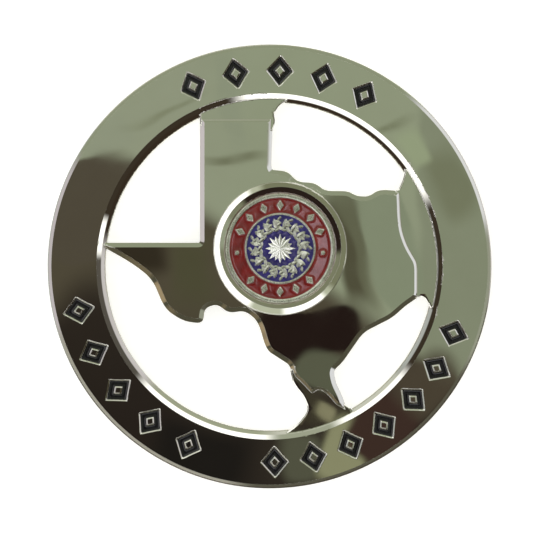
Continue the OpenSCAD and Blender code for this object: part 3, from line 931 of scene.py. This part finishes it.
def poured(name, finish, low_r, high_r, metal_near, extra):
    """Enamel between two circles, creeping up wherever metal_near says that metal is close."""
    a, b = low_r + 0.01, high_r - 0.01
    lines = [circle(b, 260)] + ([circle(a, 220)] if low_r else [])
    points = [circle(b - d, 220) for d in WALL_STEPS] + extra
    if low_r:
        points += [circle(a + d, 200) for d in WALL_STEPS]
    comb = honeycomb(b, POUR_STEP)
    comb_r = np.hypot(*comb.T)
    points.append(comb[(comb_r < b - POUR_GAP) & (comb_r > (a + POUR_GAP if low_r else 0))])
    border, edges = closed_edges(lines)
    xy, faces, _ = triangles(np.concatenate([border, *points]), edges)
    if low_r:
        faces = faces[np.hypot(*xy[faces].mean(1).T) > a]

    def height(ex=0.0, ey=0.0):
        x, y = xy[:, 0] + ex, xy[:, 1] + ey
        r = np.hypot(x, y)
        d = np.minimum(metal_near(x, y), high_r - r)
        if low_r:
            d = np.minimum(d, r - low_r)
        return BED_Z + ENAMEL_GAP + ENAMEL_T - SAG + MENISCUS_H * np.exp(-np.maximum(d, 0) / MENISCUS_W)

    piece = height_piece(name, xy, faces, height(), tilt_of(height, xy), BED_Z + ENAMEL_GAP, SEAL)
    piece.data.materials.append(finish)
    return piece


lozenge_angles = np.radians(np.concatenate([np.linspace(a, b, n) for n, a, b in LOZENGE_ROWS]))
leaf_angles = np.radians(LEAF_FIRST + 360 / LEAVES * np.arange(LEAVES))


def near_red_relief(x, y):
    d = -in_lozenge(*nearest_frame(x, y, lozenge_angles, RED_MID), LOZ_L, LOZ_W)
    return np.minimum(d, np.hypot(*nearest_frame(x, y, np.radians(PELLET_ANGLES), RED_MID)) - PELLET_R)


def near_blue_relief(x, y):
    d = -in_lozenge(*nearest_frame(x, y, leaf_angles, LEAF_R), LEAF_L, LEAF_W)
    return np.minimum(d, np.abs(np.hypot(x, y) - BURST_MID) + BURST_GAP)


red_glass = poured("red_glass", RED, RED_IN, RED_OUT, near_red_relief,
                   [placed(lozenge_line(LOZ_L, LOZ_W, -d, 40), angle, RED_MID)
                    for angle in lozenge_angles for d in (0.0, 0.04, 0.09)])
blue_glass = poured("blue_glass", BLUE, 0, FIELD_R, near_blue_relief, [])

# %% [markdown]
# The picture hides the back, so a common bar pin is made for it: a strip soldered to the plate, a
# hinge with two cheeks, a barrel and a rivet, a round pin with a ground point, and a catch with a
# turning lock. Sheet parts are cut from outlines, round parts are turned, and all edges are broken.

# %% Parts of the pin
STRIP_LEFT, STRIP_RIGHT, STRIP_HALF, STRIP_ROUND = -13.5, 16.5, 2.7, 1.1
STRIP_LOW, STRIP_TOP = 3.85, 4.75
SUNK_Z = STRIP_LOW + 0.3  # the upper ends of the sheet parts, sunk in the strip
STEM_Z, STEM_R, TIP_X = 2.3, 0.5, 18.3
HINGE_MID, HINGE_HALF, CHEEK = -11.3, 2.2, 0.95
HINGE_LEFT = HINGE_MID - HINGE_HALF
CATCH_LEFT, CATCH_RIGHT, CATCH_BORE = 13.1, 16.5, 0.75
HOOK_HALF, HOOK_ROUND, HOOK_OPEN = 2.5, 0.9, 127
WHEEL_R, WHEEL_LEFT, WHEEL_RIGHT = 1.5, 14.2, 15.4


def rounded_box(x0, x1, y0, y1, radii, steps=6):
    """A box outline whose corners, from the lower left and counterclockwise, have these radii."""
    corners = [(x0, y0, 1, 1, 180), (x1, y0, -1, 1, 270), (x1, y1, -1, -1, 0), (x0, y1, 1, -1, 90)]
    line = []
    for (x, y, sx, sy, first), r in zip(corners, radii):
        for a in np.radians(np.linspace(first, first + 90, steps if r else 1)):
            line.append((x + sx * r + r * math.cos(a), y + sy * r + r * math.sin(a)) if r else (x, y))
    return np.array(line)


def sheet(name, line, low, high, along, edge):
    """An outline pushed out along an axis, its edges broken; along x it is drawn in y and z."""
    order = {"x": (2, 0, 1), "y": (0, 2, 1), "z": (0, 1, 2)}[along]
    bm = bmesh.new()
    bm.from_mesh(prism(name, [at_height(line, low), at_height(line, high)]))
    for vert in bm.verts:
        vert.co = [vert.co[k] for k in order]
    bmesh.ops.recalc_face_normals(bm, faces=bm.faces)
    sharp = [e for e in bm.edges if e.calc_face_angle(0) > 0.6]
    bmesh.ops.bevel(bm, geom=sharp, offset=edge * MM, segments=2, profile=0.6, affect="EDGES")
    mesh = bpy.data.meshes.new(name)
    bm.to_mesh(mesh)
    bm.free()
    return mesh


def laid(mesh, along, x=0.0):
    """A turned or repeated mesh whose upright axis is laid along x or y, at the pin's height."""
    degrees, axis = (90, "Y") if along == "x" else (-90, "X")
    turn = Matrix.Rotation(math.radians(degrees), 4, axis)
    mesh.transform(Matrix.Translation(Vector((x, 0, STEM_Z)) * MM) @ turn)
    return mesh


def hook_line():
    """Outline of the catch's end plates in y and z, open to the front of the pin."""
    body = rounded_box(-HOOK_HALF, HOOK_HALF, 0, SUNK_Z, [HOOK_ROUND, HOOK_ROUND, 0, 0])
    bore = polar(CATCH_BORE, np.radians(np.linspace(HOOK_OPEN, -HOOK_OPEN, 25))) + (0, STEM_Z)
    first = np.hypot(body[:, 0] + HOOK_HALF, body[:, 1] - HOOK_ROUND).argmin()
    return np.concatenate([[(-HOOK_HALF, bore[0, 1])], bore, [(-HOOK_HALF, bore[-1, 1])],
                           np.roll(body, -first, 0)])


def both_ends(half):
    """A profile that is the same above and below, from its upper half."""
    return [(r, -z) for r, z in half] + half[::-1]


def strip_line(d):
    """Outline of the strip, grown by d."""
    return rounded_box(STRIP_LEFT - d, STRIP_RIGHT + d, -STRIP_HALF - d, STRIP_HALF + d,
                       [STRIP_ROUND + d] * 4)


strip = sheet("strip", strip_line(0), STRIP_LOW, STRIP_TOP, "z", 0.2)
solder = prism("solder", [at_height(strip_line(d), z) for d, z in (
    (-0.3, 4.50), (-0.02, 4.56), (0.06, 4.64), (0.16, 4.71), (0.32, BACK_Z - 0.01))])
cheek_line = rounded_box(HINGE_LEFT, HINGE_MID + HINGE_HALF, 0, SUNK_Z, [1.3, 1.3, 0, 0])
cheeks = [sheet("cheek", cheek_line, y, y + CHEEK, "y", 0.15) for y in (-STRIP_HALF, STRIP_HALF - CHEEK)]
stop = sheet("stop", rounded_box(HINGE_LEFT + 0.15, HINGE_LEFT + 0.75, 1.1, SUNK_Z, [0.2, 0.2, 0, 0]),
             -STRIP_HALF + 0.4, STRIP_HALF - 0.4, "y", 0.08)
barrel_profile = both_ends([(0, 1.65), (1.02, 1.65), (1.15, 1.52), (1.15, 0.62), (1.06, 0.56)])
barrel = laid(turned_mesh("barrel", barrel_profile, count=48), "y", HINGE_MID)
rivet_profile = both_ends([(0, 2.93), (0.32, 2.9), (0.58, 2.82), (0.7, 2.68), (0.46, 2.66)])
rivet = laid(turned_mesh("rivet", rivet_profile, count=32), "y", HINGE_MID)
stem_profile = [(0, HINGE_MID), (STEM_R, HINGE_MID), (STEM_R, 15.6), (0.47, 16.3), (0.36, 17.1),
                (0.2, 17.8), (0.09, 18.15), (0.04, 18.26), (0, TIP_X)]
stem = laid(turned_mesh("stem", stem_profile, count=32), "x")
hooks = [sheet("hook", hook_line(), x, x + 0.8, "x", 0.1) for x in (CATCH_LEFT + 0.2, CATCH_RIGHT - 1.0)]
back_wall = sheet("back wall", rounded_box(1.75, 2.45, 0.7, SUNK_Z, [0.2, 0.2, 0, 0]),
                  CATCH_LEFT + 0.3, CATCH_RIGHT - 0.3, "x", 0.08)
rim, bore = circle(WHEEL_R, 64), circle(CATCH_BORE + 0.03, 64)
wheel = laid(looped_mesh("wheel", [at_height(line, z) for line, z in (
    (rim, WHEEL_RIGHT), (bore, WHEEL_RIGHT), (bore, WHEEL_LEFT), (rim, WHEEL_LEFT))]), "x")
ridge_line = rounded_box(-0.1, 0.09, -0.07, 0.07, [0.03] * 4, 3)
ridge = prism("ridge", [at_height(ridge_line, z) for z in (-0.5, 0.5)])
knurl = laid(row_of(ridge, STEEL, 30, 0, 360 * 29 / 30, WHEEL_R, (WHEEL_LEFT + WHEEL_RIGHT) / 2), "x")
lever_line = rounded_box(-2.85, -WHEEL_R + 0.15, STEM_Z - 0.45, STEM_Z + 0.3, [0.25, 0, 0, 0.25])
lever = sheet("lever", lever_line, WHEEL_LEFT + 0.1, WHEEL_RIGHT - 0.1, "x", 0.1)
dome = prism("dome", [at_height(circle(r, 24), z)
                      for r, z in ((0.3, -0.16), (0.6, -0.12), (0.8, -0.04), (0.85, 0.1))])
domes = row_of(dome, STEEL, 2, 0, 180, 7.5, STRIP_LOW, middle=(1.5, 0.0))
strip.materials.append(STEEL)
pin_work = joined("pin_work", [strip, solder, *cheeks, stop, barrel, rivet, stem, *hooks, back_wall,
                               wheel, knurl, lever, domes])
pin_work.data.shade_smooth()
pin_work.data.set_sharp_from_angle(angle=math.radians(35))

# %% [markdown]
# The floor is a plain pale sheet that gives back a little light of its own, as paper under a soft
# light does. The camera looks straight down from far off, as in the picture.

# %% Floor and camera
PIXELS, PIXEL_MM = 540, 0.12803
DISTANCE = 350.0
AIM_X, AIM_Y = 0.0512, -0.461
FLOOR_SIZE = 3.0  # metres


def pale_paper(tree, place):
    return {
        "Base Color": mixed(tree, noise(tree, place, 2500, 4), (0.86, 0.86, 0.85), (0.90, 0.90, 0.89)),
        "Roughness": 0.9,
        "Emission Color": (1, 1, 0.99, 1),
        "Emission Strength": 0.45,
    }


bpy.ops.mesh.primitive_plane_add(size=FLOOR_SIZE)
floor = bpy.context.object
floor.name = "floor"
floor.data.materials.append(new_finish("pale paper", pale_paper))

camera_data = bpy.data.cameras.new("camera")
camera_data.lens = camera_data.sensor_width * DISTANCE / (PIXELS * PIXEL_MM)
camera_data.clip_start, camera_data.clip_end = 0.01, 20
camera = in_scene("camera", camera_data)
camera.location = (AIM_X * MM, AIM_Y * MM, (FACE_Z + DISTANCE) * MM)
scene.camera = camera
print("lens:", round(camera_data.lens, 1), "mm")

# %% [markdown]
# Polished metal shows nothing but its surroundings, so the room is painted for it. The face is
# almost flat and mirrors the ceiling right above, where the paint is laid out in the face's own
# millimetres: pale above and to the right, dark below and to the left, with patches where the real
# room had them. The slopes mirror the walls, band by band, and a lamp that the metal doesn't show
# lights the enamel and the floor.

# %% The room
FACE_TO_TILT = 2 / BALL_R + 1 / DISTANCE
HORIZON = 0.02
PALE_LINE, PALE_SOFT = (0.555, 0.832, -1.39), 1.6  # the line between the dark and the pale field
SECTOR_SOFT = 5  # degrees
LAMP_SIZE, LAMP_WATTS, LAMP_Z = 0.7, 2.7, 0.9  # metres and watts


def srgb(*levels):
    """Linear light of a colour given in the usual 0 to 255 steps."""
    return tuple(((v / 255 + 0.055) / 1.055) ** 2.4 if v > 10 else v / 255 / 12.92 for v in levels)


# middle x, y, half sizes, turn in degrees, softness, colour, strength
PATCHES = [
    (-22.0, 7.7, 7.0, 6.9, 0, 0.06, srgb(86, 80, 68), 1.0),
    (-23.4, 16.9, 5.5, 2.6, 20, 0.08, srgb(155, 163, 142), 1.0),
    (-20.5, -14.0, 11.0, 9.0, -45, 0.35, srgb(42, 36, 32), 0.9),
    (-8.5, -25.0, 7.0, 5.0, -12, 0.4, srgb(30, 28, 26), 0.9),
    (-17.0, 1.8, 3.5, 2.6, 0, 0.5, srgb(50, 44, 34), 0.9),
    (-10.0, 0.0, 2.6, 4.5, 0, 0.6, srgb(82, 82, 60), 0.8),
    (-4.5, 14.0, 3.6, 0.5, 4, 0.7, srgb(112, 116, 92), 0.8),
    (-13.5, 20.5, 4.2, 0.35, 24, 0.8, srgb(128, 134, 108), 0.7),
    (-5.0, 22.0, 1.2, 6.0, 8, 0.6, srgb(150, 159, 138), 0.7),
    (24.0, 6.0, 5.0, 20.0, 0, 0.1, srgb(141, 149, 127), 1.0),
    (23.6, 11.0, 2.6, 4.4, 20, 0.5, srgb(126, 132, 108), 1.0),
    (18.8, 15.6, 1.7, 2.6, 30, 0.3, srgb(160, 172, 142), 1.0),
    (16.0, 18.2, 2.2, 0.35, 28, 0.8, srgb(118, 124, 98), 0.7),
    (10.6, 2.2, 2.0, 7.5, 10, 0.4, srgb(82, 80, 62), 0.95),
    (15.4, 3.2, 3.0, 9.0, 16, 0.10, srgb(141, 151, 128), 1.0),
    (11.6, 2.6, 0.8, 8.0, 16, 0.5, srgb(112, 116, 94), 0.7),
    (5.3, -8.2, 6.2, 3.1, 0, 0.07, srgb(38, 28, 25), 1.0),
    (7.5, -13.6, 4.0, 2.3, -20, 0.2, srgb(98, 102, 84), 0.9),
    (4.5, -17.6, 2.6, 1.8, -30, 0.3, srgb(64, 60, 48), 0.9),
    (7.2, -18.4, 1.2, 0.8, -30, 0.3, srgb(150, 148, 118), 0.9),
    (3.8, -24.6, 2.4, 3.0, 0, 0.35, srgb(92, 94, 78), 0.9),
    (9.5, -23.6, 2.9, 4.4, -20, 0.2, srgb(148, 150, 118), 1.0),
    (14.5, -20.5, 3.2, 4.6, -38, 0.2, srgb(66, 50, 44), 1.0),
    (20.4, -14.8, 3.2, 4.4, -50, 0.25, srgb(80, 72, 60), 0.95),
    (3.6, 1.3, 1.9, 2.7, 0, 0.6, (4.2, 3.9, 4.3), 1.0),
]
WHITE, OLIVE = (1.7, 1.7, 1.68), srgb(152, 160, 136)
# The walls: where a band of the room begins, as the sine of its angle from straight up, its plain
# colour, and its sectors, each with its middle and half width in degrees from +X and its colour.
WALLS = [
    (0.19, 0.21, srgb(132, 136, 112), [(-118, 69, srgb(44, 34, 30)), (-12, 14, srgb(160, 168, 146))]),
    (0.34, 0.37, srgb(130, 134, 108), [
        (215, 108, srgb(198, 204, 182)), (148, 28, WHITE), (-67, 19, WHITE), (209, 32, WHITE)]),
    (0.51, 0.53, srgb(62, 54, 44), [
        (20, 28, srgb(92, 88, 82)), (-118, 38, WHITE), (68, 25, WHITE), (104, 13, srgb(170, 176, 156)),
        (128, 13, WHITE), (-10, 3, WHITE)]),
    (0.70, 0.75, srgb(58, 48, 38), [
        (20, 28, srgb(214, 210, 212)), (69, 24, srgb(172, 178, 154)), (116, 26, srgb(214, 216, 204)),
        (173, 32, srgb(186, 190, 188))]),
    (0.935, 0.945, srgb(96, 94, 82), [
        (100, 52, OLIVE), (176, 24, srgb(206, 200, 206)), (230, 32, srgb(176, 174, 164)),
        (28, 20, srgb(236, 238, 242)), (-8, 18, srgb(160, 164, 148))]),
    (0.980, 0.985, srgb(84, 82, 68), [
        (90, 50, OLIVE), (6, 36, srgb(236, 238, 244)), (179, 13, srgb(216, 210, 216)),
        (203, 3, srgb(170, 152, 122)), (226, 7, srgb(120, 110, 88))]),
]


def room():
    """A world whose colour near the zenith is painted in the face's own millimetres."""
    world = bpy.data.worlds.new("studio room")
    scene.world = world
    world.use_nodes = True
    tree = world.node_tree
    tree.nodes.clear()
    way = tree.nodes.new("ShaderNodeTexCoord").outputs["Generated"]
    dx, dy, dz = add_node(tree, "ShaderNodeSeparateXYZ", {0: way}).outputs
    up = maths(tree, "MAXIMUM", dz, HORIZON)
    x, y = (maths(tree, "DIVIDE", maths(tree, "DIVIDE", d, up), FACE_TO_TILT) for d in (dx, dy))

    def blend(a, b, c, one=x, two=y):
        """a times one value plus b times another plus c."""
        both = maths(tree, "ADD", maths(tree, "MULTIPLY", one, a), maths(tree, "MULTIPLY", two, b))
        return maths(tree, "ADD", both, c)

    def fourth(value):
        square = maths(tree, "MULTIPLY", value, value)
        return maths(tree, "MULTIPLY", square, square)

    pale = mixed(tree, between(tree, x, -12, 0), srgb(156, 164, 142), srgb(155, 164, 140))
    dark = mixed(tree, between(tree, y, -22, -2), srgb(52, 46, 40), srgb(86, 80, 66))
    colour = mixed(tree, between(tree, blend(*PALE_LINE), -PALE_SOFT, PALE_SOFT), dark, pale)
    for px, py, half_x, half_y, turn, soft, tone, strength in PATCHES:
        c, s = math.cos(math.radians(turn)), math.sin(math.radians(turn))
        u = maths(tree, "DIVIDE", blend(c, s, -c * px - s * py), half_x)
        v = maths(tree, "DIVIDE", blend(-s, c, s * px - c * py), half_y)
        away = maths(tree, "POWER", maths(tree, "ADD", fourth(u), fourth(v)), 0.25)
        colour = mixed(tree, between(tree, away, 1 - soft, 1 + soft, strength, 0), colour, tone)
    flat2 = maths(tree, "SUBTRACT", 1, maths(tree, "MULTIPLY", dz, dz))
    flat = maths(tree, "SQRT", maths(tree, "MAXIMUM", flat2, 1e-5))
    right, back = (maths(tree, "DIVIDE", d, flat) for d in (dx, dy))

    def sector(degrees, half):
        """1 for directions within half of an angle, falling to 0 softly on both sides."""
        c, s = math.cos(math.radians(degrees)), math.sin(math.radians(degrees))
        ends = [math.cos(math.radians(half + k)) for k in (SECTOR_SOFT, -SECTOR_SOFT)]
        return between(tree, blend(c, s, 0, right, back), *ends)

    for begin, end, band, sectors in WALLS:
        for middle, half, tone in sectors:
            band = mixed(tree, sector(middle, half), band, tone)
        colour = mixed(tree, between(tree, flat, begin, end), colour, band)
    camera_ray = tree.nodes.new("ShaderNodeLightPath").outputs["Is Camera Ray"]
    seen = mixed(tree, camera_ray, colour, (0.93, 0.93, 0.92))
    background = add_node(tree, "ShaderNodeBackground", {0: seen})
    add_node(tree, "ShaderNodeOutputWorld", {0: background.outputs[0]})


room()

lamp_data = bpy.data.lights.new("overhead softbox", "AREA")
lamp_data.shape, lamp_data.size, lamp_data.energy = "DISK", LAMP_SIZE, LAMP_WATTS
lamp = in_scene("overhead softbox", lamp_data)
lamp.location = (0, 0, LAMP_Z)
lamp.visible_glossy = False
print("lamp:", LAMP_WATTS, "W, patches in the painting:", len(PATCHES))

# %% [markdown]
# All pieces ride on the one body, and the CAD solids whose place they take are hidden.

# %% Ride and replace
for piece, slot in ((struck_plate, "polished_nickel"), (mark_enamel, "black_enamel"),
                    (seal_body, "struck_silver"), (seal_relief, "struck_silver"),
                    (sunburst, "struck_silver"), (red_glass, "red_enamel"),
                    (blue_glass, "blue_enamel"), (pin_work, "pin_steel")):
    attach(piece, "root")
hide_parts("badge_plate")
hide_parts(*[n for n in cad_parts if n.startswith("mark_")])
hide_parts("seal_disc")
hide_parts("red_enamel")
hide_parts("blue_enamel")
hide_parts("pin_back")
